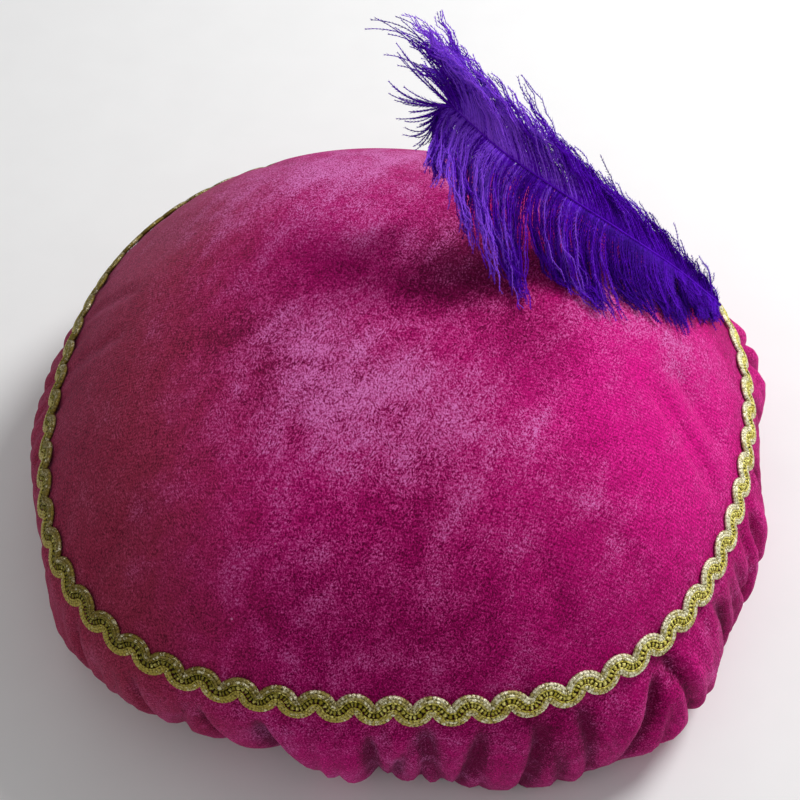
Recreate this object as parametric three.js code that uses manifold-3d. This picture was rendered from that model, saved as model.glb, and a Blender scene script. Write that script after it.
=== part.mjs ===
// Feathered velvet beret, in millimetres, +Z up.
// One velvet cloth is gathered on an elastic casing into a puffed, hollow cap. A gold gimp braid is sewn round
// its shoulder, and an ostrich plume is tucked in at the braid and arches over the crown.
// The cap rests on the plane z = 0, on its casing and belly, and the head opening is centred on the Z axis.
import * as THREE from "three";
import { mergeVertices } from "three/addons/utils/BufferGeometryUtils.js";
import Module from "manifold-3d";

const wasm = await Module();
wasm.setup();

// Driving dimensions of the cap
const RING_RADIUS = 141; // mean radius of the braid's centre line
const RING_HEIGHT = 60; // height of the braid's centre line
const CROWN_RISE = 54; // how far the crown stands above the braid
const CROWN_POWER = 3.6; // flatness of the crown's top: a higher power has a flatter top and a steeper shoulder
const BELLY_RADIUS = 57; // mean round of the side below the braid
const BRAID_TILT = 36; // degrees by which the cloth under the braid faces up
const CLOTH = 2; // thickness of the velvet with its pile
const CASING_INNER = 76; // radius of the head opening
const CASING_WIDTH = 12; // width of the elastic casing round the head opening
const CASING_THICKNESS = 5;
const PUFF = 1.5; // depth by which the cloth between two gathers stands proud of them
const COLUMNS = 128; // columns of faces round the side, where the gathers are

// Outline of the cap seen from above: waves on the mean radius.
const OUTLINE_WAVES = [
  // [waves round the cap, swell in mm, bearing of a crest in degrees]
  [1, 3.2, -142],
  [2, 1.5, 83],
  [3, 1.7, -11],
  [4, 3.0, 36],
  [5, 1.5, 11],
].map(([waves, swell, crest]) => ({ waves, swell, crest }));

// The side bulges more at some bearings than at others: waves on the belly's mean round.
const BELLY_WAVES = [
  // [waves round the cap, swell in mm, bearing of a crest in degrees]
  [1, 4.5, 58],
  [2, 10.5, -20],
  [3, 5.6, 59],
].map(([waves, swell, crest]) => ({ waves, swell, crest }));

// Valleys of the gathers below the braid. Bearing 0 is +X, and -90 is the front.
const GATHERS = [
  // [bearing at the braid, half width in degrees, depth in mm, degrees of drift down to the casing]
  [-172, 4.0, 3.5, 5],
  [-157, 3.0, 4.5, -4],
  [-141, 3.5, 4.0, 6],
  [-127, 3.0, 5.0, 4],
  [-116, 2.6, 7.0, 6],
  [-107, 3.8, 9.5, 5],
  [-95, 2.8, 9.0, 1],
  [-88, 2.2, 5.0, -2],
  [-79, 3.2, 8.0, -6],
  [-71, 2.6, 7.0, -4],
  [-52, 4.2, 9.5, -7],
  [-38, 3.0, 5.5, 3],
  [-21, 3.4, 8.0, -5],
  [-4, 3.0, 5.0, 4],
  [12, 3.4, 6.5, -4],
  [29, 3.0, 5.0, 5],
  [45, 3.4, 8.0, -5],
  [62, 2.8, 5.5, 3],
  [78, 3.4, 7.5, 5],
  [95, 3.0, 6.0, -4],
  [111, 3.4, 8.5, 4],
  [128, 2.8, 5.0, -5],
  [145, 3.4, 7.0, 4],
  [166, 3.0, 5.5, -4],
].map(([bearing, width, depth, drift]) => ({ bearing, width, depth, drift }));

// Shallow dents of the crown.
const CROWN_DENTS = [
  // [bearing, share of the way out to the braid, spread in mm, depth in mm]
  [-38, 0.46, 34, 2.6],
  [-12, 0.83, 16, 2.2],
  [22, 0.7, 20, 2.4],
  [150, 0.82, 20, 2.0],
  [-150, 0.62, 40, 1.8],
  [84, 0.66, 34, 2.0],
].map(([bearing, share, spread, depth]) => ({ bearing, share, spread, depth }));

// Gold gimp braid: a flat band that winds from side to side as it goes round.
const BRAID_WINDINGS = 67;
const BRAID_SWING = 2.7; // how far the band's middle goes to either side
const BRAID_BAND = 4.8; // width of the band
const BRAID_THICKNESS = 1.8;
const BRAID_STEPS = 7; // sections for each winding
const SEAT_GAP = 0.3; // clearance between pieces that are sewn together

// Ostrich plume: the shaft's way from its root at the braid, over the crown, to the tip that curls down.
const PLUME_STATIONS = [
  // [x, y, z, shaft radius, length of the upper barbs, length of the lower barbs]
  [130, 38, 70, 2.0, 14, 36],
  [108, 34.5, 95, 1.9, 26, 46],
  [84, 31.5, 118, 1.7, 36, 52],
  [60, 32.5, 137, 1.5, 44, 52],
  [37, 37.5, 153, 1.3, 48, 40],
  [22, 43.5, 161, 1.1, 46, 28],
  [13, 50.5, 161, 1.0, 40, 30],
  [8, 51.5, 151, 0.9, 36, 30],
  [7, 48.5, 141, 0.8, 28, 30],
].map(([x, y, z, shaft, upper, lower]) => ({ x, y, z, shaft, upper, lower }));
const ROOT_BEARING = 16.2; // where the plume's root lies on the cloth beside the braid
const ROOT_ACROSS = 8;
const VANES = [
  // [barbs' column, way off the shaft x, y, z, share of the length off the shaft, along it, and drooping]
  ["upper", 0.1, 0.8, 0.6, 0.5, 0.78, 0.06],
  ["lower", -0.1, -0.97, -0.2, 0.55, 0.48, 0.7],
].map(([barbs, x, y, z, spread, sweep, droop]) => {
  return { barbs, away: new THREE.Vector3(x, y, z).normalize(), spread, sweep, droop };
});
const VANE_LOCKS = 11; // pointed locks along the edge of each vane
const VANE_START = 0.02;
const VANE_END = 0.74;
const VANE_STEPS = 4; // faces from the shaft to the edge
const NOTCH = 0.62; // length of a vane between two locks, as a share of the locks' length
const VANE_THICKNESS = 2.0;
const TIP_LOCKS = [
  // [share along the shaft, reach of the lock in x, y and z]
  [0.6, -14, 24, 23],
  [0.68, -20, 26, 18],
  [0.75, -27, 23, 17],
  [0.8, -24, 12, 6],
  [0.84, -20, 4, -3],
  [0.97, -4, -8, -20],
  [0.85, 8, -10, -24],
  [0.74, 10, -12, -24],
].map(([share, x, y, z]) => ({ share, reach: new THREE.Vector3(x, y, z) }));
const TIP_LOCK_WIDTH = 9;
const TIP_LOCK_STEPS = 4;
const SHAFT_SIDES = 6;
const SHAFT_STEPS = 22;
const PLUME_CLEARANCE = 1.6; // height of the middle of a vane over the cloth that it lies on

const MATERIALS = {
  velvet: new THREE.MeshStandardMaterial({ color: 0xa3145f, roughness: 0.85, metalness: 0 }),
  gimp: new THREE.MeshStandardMaterial({ color: 0xa89a4a, roughness: 0.45, metalness: 0.6 }),
  plume: new THREE.MeshStandardMaterial({ color: 0x4a14a0, roughness: 0.8, metalness: 0 }),
};

const radians = THREE.MathUtils.degToRad;
const sum = (rows, value) => rows.reduce((total, row) => total + value(row), 0);

const waveSum = (waves, bearing) => sum(waves, (w) => w.swell * Math.cos(w.waves * (bearing - radians(w.crest))));

// Radius of the braid's centre line, and round of the belly under it, at a bearing in radians.
const outline = (bearing) => RING_RADIUS + waveSum(OUTLINE_WAVES, bearing);
const bellyRound = (bearing) => BELLY_RADIUS + waveSum(BELLY_WAVES, bearing);

// Signed angle from one bearing to another, within half a turn.
function turn(from, to) {
  return Math.atan2(Math.sin(to - from), Math.cos(to - from));
}

// Depth of the gathers at a bearing, for cloth that is drop (0 at the braid, 1 at the casing) down the side.
function gatherDepth(bearing, drop) {
  const depth = sum(GATHERS, (g) => {
    const away = turn(radians(g.bearing + g.drift * drop), bearing) / radians(g.width);
    return g.depth / (1 + away * away) ** 2;
  });
  return Math.max(0, depth - PUFF);
}

// Depth of the crown's dents at a bearing and share of the way out.
function dentDepth(bearing, share) {
  const at = new THREE.Vector2(Math.cos(bearing), Math.sin(bearing)).multiplyScalar(share * RING_RADIUS);
  return sum(CROWN_DENTS, (d) => {
    const centre = new THREE.Vector2(Math.cos(radians(d.bearing)), Math.sin(radians(d.bearing)));
    const away = at.distanceTo(centre.multiplyScalar(d.share * RING_RADIUS)) / d.spread;
    return d.depth * Math.exp(-away * away);
  });
}

const crownHeight = (share) => RING_HEIGHT + CROWN_RISE * (1 - share ** CROWN_POWER);
const crownSlope = (share) => (CROWN_RISE * CROWN_POWER * share ** (CROWN_POWER - 1)) / RING_RADIUS;

// Rows of the cloth. At a bearing each gives a radius, a height, the elevation in degrees that the cloth faces,
// and how far dents or gathers sink it.
function crownRow(share, columns) {
  return {
    columns,
    at: (bearing) => ({
      radius: share * outline(bearing),
      height: crownHeight(share),
      facing: 90 - THREE.MathUtils.radToDeg(Math.atan(crownSlope(share))),
      sink: dentDepth(bearing, share) * THREE.MathUtils.smoothstep(1 - share, 0.03, 0.12),
    }),
  };
}

const BRAID_COVER = 0.06; // share of the way to the casing that the braid holds flat
const FULL_GATHER = 0.34; // share of the way to the casing where the gathers are deepest
const FLOOR_DROP = 0.6; // share of the way to the casing where the cloth reaches the floor

// The facing of the belly where it reaches the floor, or where it turns under just above it.
function floorFacing(bearing) {
  const round = bellyRound(bearing);
  const fall = RING_HEIGHT / round - Math.sin(radians(BRAID_TILT));
  return -THREE.MathUtils.radToDeg(Math.asin(Math.min(fall, 0.98)));
}

function bellyAt(bearing, facing) {
  const round = bellyRound(bearing);
  const drop = (FLOOR_DROP * (BRAID_TILT - facing)) / (BRAID_TILT - floorFacing(bearing));
  return {
    radius: outline(bearing) + round * (Math.cos(radians(facing)) - Math.cos(radians(BRAID_TILT))),
    height: RING_HEIGHT + round * (Math.sin(radians(facing)) - Math.sin(radians(BRAID_TILT))),
    facing,
    sink: THREE.MathUtils.smoothstep(drop, BRAID_COVER, FULL_GATHER) * gatherDepth(bearing, drop),
  };
}

// Fall is 0 at the braid and 1 at the floor.
function bellyRow(fall) {
  const facing = (bearing) => THREE.MathUtils.lerp(BRAID_TILT, floorFacing(bearing), fall);
  return { columns: COLUMNS, at: (bearing) => bellyAt(bearing, facing(bearing)) };
}

// The underside lies on the floor, and its gathers lift off it. Reach is 0 at the belly and 1 at the casing.
function undersideRow(reach) {
  const casing = CASING_INNER + CASING_WIDTH;
  return {
    columns: COLUMNS,
    at: (bearing) => {
      const edge = bellyAt(bearing, floorFacing(bearing));
      return {
        radius: THREE.MathUtils.lerp(edge.radius, casing, reach),
        height: (1 - reach) * edge.height,
        facing: -90,
        sink: (1 - reach) * gatherDepth(bearing, THREE.MathUtils.lerp(FLOOR_DROP, 1, reach)),
      };
    },
  };
}

function casingRow(width, height) {
  return { columns: COLUMNS, at: () => ({ radius: CASING_INNER + width, height, facing: -90, sink: 0 }) };
}

// A point of the cloth, lifted off it by the given distance.
function clothPoint(cloth, bearing, lift) {
  const out = lift - cloth.sink;
  const radius = cloth.radius + out * Math.cos(radians(cloth.facing));
  const height = cloth.height + out * Math.sin(radians(cloth.facing));
  return new THREE.Vector3(radius * Math.cos(bearing), radius * Math.sin(bearing), height);
}

// A closed surface through loops of points, each with as many points as it needs, closed at either end.
function loftLoops(loops) {
  const positions = [];
  const triangles = [];
  const starts = loops.map((loop) => positions.push(...loop) - loop.length);
  for (let k = 0; k + 1 < loops.length; k++) {
    const [near, far] = [loops[k].length, loops[k + 1].length];
    for (let i = 0, j = 0; i < near || j < far; ) {
      const a = starts[k] + (i % near);
      const b = starts[k + 1] + (j % far);
      if (j >= far || (i < near && (i + 1) * far <= (j + 1) * near)) {
        triangles.push(a, b, starts[k] + (++i % near));
      } else {
        triangles.push(a, b, starts[k + 1] + (++j % far));
      }
    }
  }
  const closeEnd = (start, loop, flip) => {
    if (loop.length < 3) return;
    for (let i = 1; i + 1 < loop.length; i++) {
      triangles.push(start, start + (flip ? i + 1 : i), start + (flip ? i : i + 1));
    }
  };
  closeEnd(starts[0], loops[0], false);
  closeEnd(starts.at(-1), loops.at(-1), true);
  const geometry = new THREE.BufferGeometry().setFromPoints(positions);
  geometry.setIndex(triangles.filter((_, n) => {
    const t = n - (n % 3);
    return new Set(triangles.slice(t, t + 3)).size === 3;
  }));
  return geometry;
}

const bearings = (count) => Array.from({ length: count }, (_, i) => (i / count) * 2 * Math.PI);
const clothLoop = (row, lift) => bearings(row.columns).map((bearing) => clothPoint(row.at(bearing), bearing, lift));

// The velvet cap: its outside from the crown down to the casing, then its inside back up to the crown.
function velvetCap() {
  const crown = [[0.2, 16], [0.42, 32], [0.62, 64], [0.78, 64], [0.9, 128]];
  const pole = (lift) => [new THREE.Vector3(0, 0, crownHeight(0) - dentDepth(0, 0) + lift)];
  const outside = [
    ...crown.map(([share, columns]) => crownRow(share, columns)),
    ...[0, 0.13, 0.32, 0.52, 0.72, 0.92].map(bellyRow),
    ...[0.05, 0.4, 0.72].map(undersideRow),
  ];
  const inside = [
    undersideRow(0.5),
    ...[0.92, 0.52, 0.13].map(bellyRow),
    ...[[0.9, 128], [0.78, 64], [0.42, 32]].map(([share, columns]) => crownRow(share, columns)),
  ];
  const casing = [[CASING_WIDTH, 0], [0, 0], [0, CASING_THICKNESS], [CASING_WIDTH, CASING_THICKNESS]];
  return loftLoops([
    pole(0),
    ...outside.map((row) => clothLoop(row, 0)),
    ...casing.map(([width, height]) => clothLoop(casingRow(width, height), 0)),
    ...inside.map((row) => clothLoop(row, -CLOTH)),
    pole(-CLOTH),
  ]);
}

// A point over the cloth beside the braid's centre line: across is towards the crown, and lift is off the cloth.
function besideBraid(bearing, across, lift) {
  const under = THREE.MathUtils.radToDeg(across / bellyRound(bearing));
  const inward = (across * Math.sin(radians(BRAID_TILT))) / outline(bearing);
  const cloth = across > 0 ? crownRow(1 - inward).at(bearing) : bellyAt(bearing, BRAID_TILT + under);
  return clothPoint(cloth, bearing, lift);
}

// The gimp braid: a ring of sections square to the winding band.
function gimpBraid() {
  const count = BRAID_WINDINGS * BRAID_STEPS;
  const swingAt = (bearing) => BRAID_SWING * Math.sin(BRAID_WINDINGS * bearing);
  const sections = bearings(count).map((bearing) => {
    const rate = (BRAID_SWING * BRAID_WINDINGS * Math.cos(BRAID_WINDINGS * bearing)) / outline(bearing);
    const across = BRAID_BAND / 2 / Math.hypot(1, rate);
    const corner = (side, lift) => {
      const along = (-side * across * rate) / outline(bearing);
      return besideBraid(bearing + along, swingAt(bearing) + side * across, lift);
    };
    const [low, high] = [SEAT_GAP, SEAT_GAP + BRAID_THICKNESS];
    return [corner(1, low), corner(1, high), corner(-1, high), corner(-1, low)];
  });
  const triangles = [];
  for (let s = 0; s < count; s++) {
    const [here, next] = [4 * s, 4 * ((s + 1) % count)];
    for (let c = 0; c < 4; c++) {
      const d = (c + 1) % 4;
      triangles.push(here + c, here + d, next + c, here + d, next + d, next + c);
    }
  }
  return new THREE.BufferGeometry().setFromPoints(sections.flat()).setIndex(triangles);
}

// Least height for what lies over the crown at a place seen from above, with a clearance square to the cloth.
function heightOverCrown(x, y, clearance) {
  const share = Math.min(1, Math.hypot(x, y) / outline(Math.atan2(y, x)));
  return crownHeight(share) + clearance * Math.hypot(1, crownSlope(share));
}

const plumeRoot = besideBraid(radians(ROOT_BEARING), ROOT_ACROSS, PLUME_STATIONS[0].shaft + SEAT_GAP);
const shaftLine = new THREE.CatmullRomCurve3([
  plumeRoot,
  ...PLUME_STATIONS.slice(1).map((s) => new THREE.Vector3(s.x, s.y, s.z)),
]);

// A value of the plume's stations at a share of the way along the shaft.
function alongPlume(share, column) {
  const place = Math.min(share, 0.9999) * (PLUME_STATIONS.length - 1);
  const from = Math.floor(place);
  return THREE.MathUtils.lerp(PLUME_STATIONS[from][column], PLUME_STATIONS[from + 1][column], place - from);
}

// A loop of points round a line: half sizes along two directions, with the given number of sides.
function loopRound(centre, first, second, sides) {
  return bearings(sides).map((angle) =>
    centre.clone().addScaledVector(first, Math.cos(angle)).addScaledVector(second, Math.sin(angle)),
  );
}

function plumeShaft() {
  const loops = [];
  for (let k = 0; k <= SHAFT_STEPS; k++) {
    const share = k / SHAFT_STEPS;
    const ahead = shaftLine.getTangent(share);
    const side = new THREE.Vector3(0, 1, 0).cross(ahead).normalize().multiplyScalar(alongPlume(share, "shaft"));
    loops.push(loopRound(shaftLine.getPoint(share), side, ahead.clone().cross(side), SHAFT_SIDES));
  }
  return loftLoops(loops.reverse());
}

// Keeps a point of the plume above the cloth.
function overCloth(point) {
  point.z = Math.max(point.z, heightOverCrown(point.x, point.y, PLUME_CLEARANCE));
  return point;
}

// A point of a vane, t of the way along a barb that leaves the shaft, sweeps towards the tip and droops.
function barbPoint(vane, share, length, t) {
  const point = shaftLine.getPoint(share);
  point.addScaledVector(vane.away, length * vane.spread * (1.4 * t - 0.4 * t * t));
  point.addScaledVector(shaftLine.getTangent(share), length * vane.sweep * (0.6 * t + 0.4 * t * t));
  point.z -= length * vane.droop * t * t;
  return overCloth(point);
}

// One vane of the plume, a thickened sheet whose edge runs out into pointed locks.
function plumeVane(vane) {
  const rows = [];
  for (let k = 0; k <= 2 * VANE_LOCKS; k++) {
    const share = THREE.MathUtils.lerp(VANE_START, VANE_END, k / (2 * VANE_LOCKS));
    const stray = 1 + 0.12 * Math.sin(2.4 * k); // locks differ a little, in a fixed way
    const length = alongPlume(share, vane.barbs) * (k % 2 ? stray : NOTCH);
    rows.push(Array.from({ length: VANE_STEPS + 1 }, (_, m) => barbPoint(vane, share, length, m / VANE_STEPS)));
  }
  return thickSheet(rows, (m) => VANE_THICKNESS * (1 - (0.6 * m) / VANE_STEPS));
}

// A closed solid from a grid of points, with half its thickness to either side of them.
function thickSheet(rows, thickness) {
  const [last, end] = [rows.length - 1, rows[0].length - 1];
  const side = (sign) => rows.flatMap((row, k) => row.map((point, m) => {
    const along = rows[Math.min(k + 1, last)][m].clone().sub(rows[Math.max(k - 1, 0)][m]);
    const out = row[Math.min(m + 1, end)].clone().sub(row[Math.max(m - 1, 0)]);
    return point.clone().addScaledVector(along.cross(out).normalize(), (sign * thickness(m)) / 2);
  }));
  const width = end + 1;
  const under = rows.length * width;
  const triangles = [];
  const quad = (a, b, c, d) => triangles.push(a, b, c, a, c, d);
  for (let k = 0; k < last; k++) {
    const [a, b] = [k * width, (k + 1) * width];
    for (let m = 0; m < end; m++) {
      quad(a + m, b + m, b + m + 1, a + m + 1);
      quad(under + a + m, under + a + m + 1, under + b + m + 1, under + b + m);
    }
    quad(a, under + a, under + b, b);
    quad(a + end, b + end, under + b + end, under + a + end);
  }
  for (let m = 0; m < end; m++) {
    const z = last * width + m;
    quad(m, m + 1, under + m + 1, under + m);
    quad(z, under + z, under + z + 1, z + 1);
  }
  return new THREE.BufferGeometry().setFromPoints([...side(1), ...side(-1)]).setIndex(triangles);
}

// One lock at the tip, a flat pointed strip that bows upwards on its way.
function tipLock({ share, reach }) {
  const root = shaftLine.getPoint(share);
  const middle = (t) => {
    const bow = 0.12 * reach.length() * (t - t * t);
    return overCloth(root.clone().addScaledVector(reach, t).add(new THREE.Vector3(0, 0, bow)));
  };
  const loops = [];
  for (let k = 0; k <= TIP_LOCK_STEPS; k++) {
    const t = k / TIP_LOCK_STEPS;
    const ahead = middle(t + 0.02).sub(middle(t - 0.02)).normalize();
    const across = new THREE.Vector3(0.45, 0.8, -0.4).cross(ahead).normalize();
    const taper = 1 - 0.9 * t ** 1.6;
    const half = across.clone().multiplyScalar((TIP_LOCK_WIDTH / 2) * taper);
    const thick = ahead.clone().cross(across).multiplyScalar((VANE_THICKNESS / 2) * taper);
    loops.push(loopRound(middle(t), half, thick, 4));
  }
  return loftLoops(loops.reverse());
}

// A geometry as a solid for joining.
function solidOf(geometry) {
  const bare = new THREE.BufferGeometry().setAttribute("position", geometry.getAttribute("position"));
  const merged = mergeVertices(bare.setIndex(geometry.index), 1e-4);
  return new wasm.Manifold(new wasm.Mesh({
    numProp: 3,
    vertProperties: merged.getAttribute("position").array,
    triVerts: new Uint32Array(merged.index.array),
  }));
}

// The plume: two vanes and the locks of the tip, grown into one with the shaft.
function ostrichPlume() {
  const grown = [...VANES.map(plumeVane), ...TIP_LOCKS.map(tipLock)];
  const plume = grown.reduce((joined, part) => joined.add(solidOf(part)), solidOf(plumeShaft()));
  const { vertProperties, triVerts } = plume.getMesh();
  return new THREE.BufferGeometry()
    .setAttribute("position", new THREE.BufferAttribute(vertProperties, 3))
    .setIndex(new THREE.BufferAttribute(triVerts, 1));
}

function piece(name, geometry, material) {
  const mesh = new THREE.Mesh(geometry, material);
  mesh.name = name;
  return mesh;
}

const beret = new THREE.Group();
beret.add(
  piece("velvet_cap", velvetCap(), MATERIALS.velvet),
  piece("gimp_braid", gimpBraid(), MATERIALS.gimp),
  piece("ostrich_plume", ostrichPlume(), MATERIALS.plume),
);

export default beret;
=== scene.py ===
import math

import bpy
import numpy as np
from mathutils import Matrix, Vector


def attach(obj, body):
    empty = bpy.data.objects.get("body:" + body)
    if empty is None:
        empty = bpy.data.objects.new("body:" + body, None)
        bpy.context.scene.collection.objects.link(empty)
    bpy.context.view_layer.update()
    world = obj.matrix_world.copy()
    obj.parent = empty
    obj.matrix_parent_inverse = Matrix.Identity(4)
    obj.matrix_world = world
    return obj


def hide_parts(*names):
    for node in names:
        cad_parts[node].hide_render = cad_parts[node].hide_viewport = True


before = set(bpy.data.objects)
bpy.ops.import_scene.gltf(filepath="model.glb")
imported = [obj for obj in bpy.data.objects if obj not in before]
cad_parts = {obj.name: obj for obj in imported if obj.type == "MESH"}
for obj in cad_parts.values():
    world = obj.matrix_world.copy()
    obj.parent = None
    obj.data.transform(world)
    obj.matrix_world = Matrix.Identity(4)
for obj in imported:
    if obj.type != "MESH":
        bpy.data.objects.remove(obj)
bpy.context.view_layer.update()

MM = 0.001
TURN = 2 * math.pi
random = np.random.default_rng(20)


# Shape of the cap in millimetres, close to that of the part's source

RING_RADIUS = 141.0
RING_HEIGHT = 60.0
CROWN_RISE = 54.0
CROWN_POWER = 3.6
BELLY_RADIUS = 57.0
BRAID_TILT = math.radians(36)
PUFF = 1.5
CLOTH = 1.6
CASING_INNER = 76.0
CASING_WIDTH = 12.0
CASING_THICKNESS = 5.0
BRAID_COVER = 0.06
FULL_GATHER = 0.2
GATHER_PULL = 1.05
GATHER_ROUNDING = 0.5  # square mm by which a gather's edge is rounded off
FOLD_START = BRAID_COVER / 2
FULL_FOLD = 0.14
FOLD_TOP = 0.35  # share of its width that a fold has where it starts
FULL_WIDTH = 0.4
FLOOR_DROP = 0.6  # share of the way from the braid to the casing where the side meets the floor
MOST_FALL = 0.98  # sine of the steepest facing of the side at the floor
FOOT_EASE = 0.55  # share of a fold's depth that it loses where the side meets the floor
FOOT_REACH = 0.22
TAUT_BEARING = math.radians(-40)  # where the side is pulled smoother
TAUT_REACH = math.radians(28)
TAUT_EASE = 0.62  # share of a fold's depth that it loses there
BULGE_FULL = 0.25
BULGE_FADE = 0.2
DENT_RIM = (0.03, 0.12)  # share of the radius in from the braid where dents start, and are full
CREASE_RIM = (0.0, 0.05)
CROWN_PUCKER = 0.6  # depth of a pucker on the crown as a share of its depth on the side

# waves round the cap, swell in mm, bearing of a crest in degrees
OUTLINE_WAVES = [(1, 3.2, -142), (2, 1.5, 83), (3, 1.7, -11), (4, 3.0, 36), (5, 1.5, 11)]
BELLY_WAVES = [(1, 4.5, 58), (2, 10.5, -20), (3, 5.6, 59)]

# bearing at the braid, half width in degrees, depth in mm, degrees of drift down to the casing
GATHERS = [
    (-172, 4.0, 3.5, 5), (-157, 3.0, 4.5, -4), (-141, 3.5, 4.0, 10), (-130, 3.0, 4.5, 14),
    (-120, 2.6, 6.0, 14), (-111, 3.8, 9.5, 10), (-95, 2.8, 7.5, 3), (-88, 2.2, 4.0, -8),
    (-79, 3.2, 5.5, -6), (-71, 2.6, 6.0, -4), (-52, 3.6, 12.0, -16), (-38, 3.0, 5.5, 3),
    (-21, 3.4, 8.0, -5), (-4, 3.0, 5.0, 4), (12, 3.4, 6.5, -4), (29, 3.0, 5.0, 5),
    (45, 3.4, 8.0, -5), (62, 2.8, 5.5, 3), (78, 3.4, 7.5, 5), (95, 3.0, 6.0, -4),
    (111, 3.4, 8.5, 4), (128, 2.8, 5.0, -5), (145, 3.4, 7.0, 4), (166, 3.0, 5.5, -4),
]

# broad bulges of the side: bearing, half width in degrees, height in mm
BULGES = [
    (-52, 12, 6), (-34, 6, -2), (-22, 7, 4), (-6, 9, -2.5), (13, 8, 9), (31, 7, -3), (172, 14, 3),
    (-157, 9, -5), (-140, 8, -1), (-116, 10, -1.5), (-95, 7, 2),
]

# how far the foot of the side stands out or in: bearing, half width in degrees, mm
FOOT_SWELLS = [(-150, 9, 4.5), (-129, 10, -4.0), (-101, 6, 3.5)]
FOOT_START = 0.25  # share of the way from the braid to the casing where this starts

# bearing, share of the way out to the braid, spread in mm, depth in mm
CROWN_DENTS = [
    (-38, 0.46, 34, 2.6), (-12, 0.83, 16, 2.2), (22, 0.7, 20, 2.4),
    (150, 0.82, 20, 2.0), (-150, 0.62, 40, 1.8), (86, 0.66, 36, 2.4),
]

# plan x and y in mm of both ends of a soft crease in the crown, its width and depth in mm
CROWN_CREASES = [
    (99, -32, 117, -55, 4.5, 2.3), (110, -18, 124, -36, 4.0, 1.5), (-132, 36, -110, 28, 4.0, 0.9),
    (-134, 6, -114, 4, 4.0, 0.8), (-104, -84, -88, -74, 4.5, 0.8), (58, -118, 48, -100, 5.0, 0.8),
    (84, -96, 70, -86, 4.5, 0.7), (30, 122, 24, 104, 5.0, 1.0), (-60, 112, -50, 96, 5.0, 1.0),
]

# fine pleats of the casing: how many go round it, depth, shift in radians
CASING_PLEATS = [(96, 0.5, 0.0), (61, 0.35, 1.3)]
PLEAT_MIDDLE = 0.55  # mm that the pleats' middle stands off the floor
PLEAT_RISE = 0.5  # mm for each unit of depth, up and down
PLEAT_SWAY = 0.4  # and in and out
UPPER_PLEAT = 0.4  # share of the rise that is left above the floor

# smaller folds between the deep gathers: bearing, half width, depth, drift
FOLDS = [
    (random.uniform(-180, 180), random.uniform(1.6, 3.0), random.uniform(1.5, 4.5), random.uniform(-11, 11))
    for _ in range(36)
]
# puckers that the braid's stitches pull: bearing, half width, depth, reach in mm
PUCKERS = [
    (random.uniform(-180, 180), random.uniform(0.8, 1.5), random.uniform(0.2, 0.8), random.uniform(6, 20))
    for _ in range(120)
]


def waves(table, bearing):
    return sum(swell * np.cos(n * (bearing - math.radians(crest))) for n, swell, crest in table)


def ring_radius(bearing):
    return RING_RADIUS + waves(OUTLINE_WAVES, bearing)


def belly_round(bearing):
    return BELLY_RADIUS + waves(BELLY_WAVES, bearing)


def turn_between(start, end):
    return (end - start + math.pi) % TURN - math.pi


def smoothstep(x, low, high):
    t = np.clip((x - low) / (high - low), 0, 1)
    return t * t * (3 - 2 * t)


def crown_height(share):
    return RING_HEIGHT + CROWN_RISE * (1 - share**CROWN_POWER)


def crown_slope(share):
    return CROWN_RISE * CROWN_POWER * share ** (CROWN_POWER - 1) / RING_RADIUS


def floor_facing(bearing):
    fall = RING_HEIGHT / belly_round(bearing) - math.sin(BRAID_TILT)
    return -np.arcsin(np.minimum(fall, MOST_FALL))


def valleys(table, bearing, drop):
    depth = 0
    opened = FOLD_TOP + (1 - FOLD_TOP) * smoothstep(drop, 0, FULL_WIDTH)
    for at, width, deep, drift in table:
        away = turn_between(math.radians(at) + math.radians(drift) * drop, bearing) / math.radians(width)
        away = away / opened
        depth = depth + deep / (1 + away * away) ** 2
    return depth


def positive(depth):
    """The depth where it is above zero, rounded off near zero."""
    return 0.5 * (depth + np.sqrt(depth * depth + GATHER_ROUNDING))


def gather_depth(bearing, drop):
    deep = positive(GATHER_PULL * valleys(GATHERS, bearing, drop) - PUFF)
    deep = deep * smoothstep(drop, BRAID_COVER, FULL_GATHER)
    deep = deep + valleys(FOLDS, bearing, drop) * smoothstep(drop, FOLD_START, FULL_FOLD)
    taut = np.exp(-((turn_between(TAUT_BEARING, bearing) / TAUT_REACH) ** 2))
    foot = np.exp(-(((drop - FLOOR_DROP) / FOOT_REACH) ** 2))
    return deep * (1 - TAUT_EASE * taut) * (1 - FOOT_EASE * foot)


def swells(table, bearing):
    height = 0
    for at, width, rise in table:
        side = turn_between(math.radians(at), bearing) / math.radians(width)
        height = height + rise * np.exp(-side * side)
    return height


def bulge_height(bearing, drop):
    height = swells(BULGES, bearing)
    return height * smoothstep(drop, BRAID_COVER, BULGE_FULL) * smoothstep(FLOOR_DROP - drop, 0, BULGE_FADE)


def pucker_depth(bearing, away):
    """Depth of the puckers at a distance in mm from the braid."""
    depth = 0
    for at, width, deep, reach in PUCKERS:
        side = turn_between(math.radians(at), bearing) / math.radians(width)
        depth = depth + deep * np.exp(-side * side - (away / reach) ** 2)
    return depth


def dent_depth(bearing, share):
    x, y = share * RING_RADIUS * np.cos(bearing), share * RING_RADIUS * np.sin(bearing)
    depth = 0
    for at, out, spread, deep in CROWN_DENTS:
        cx = out * RING_RADIUS * math.cos(math.radians(at))
        cy = out * RING_RADIUS * math.sin(math.radians(at))
        depth = depth + deep * np.exp(-((x - cx) ** 2 + (y - cy) ** 2) / spread**2)
    return depth * smoothstep(1 - share, *DENT_RIM)


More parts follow.
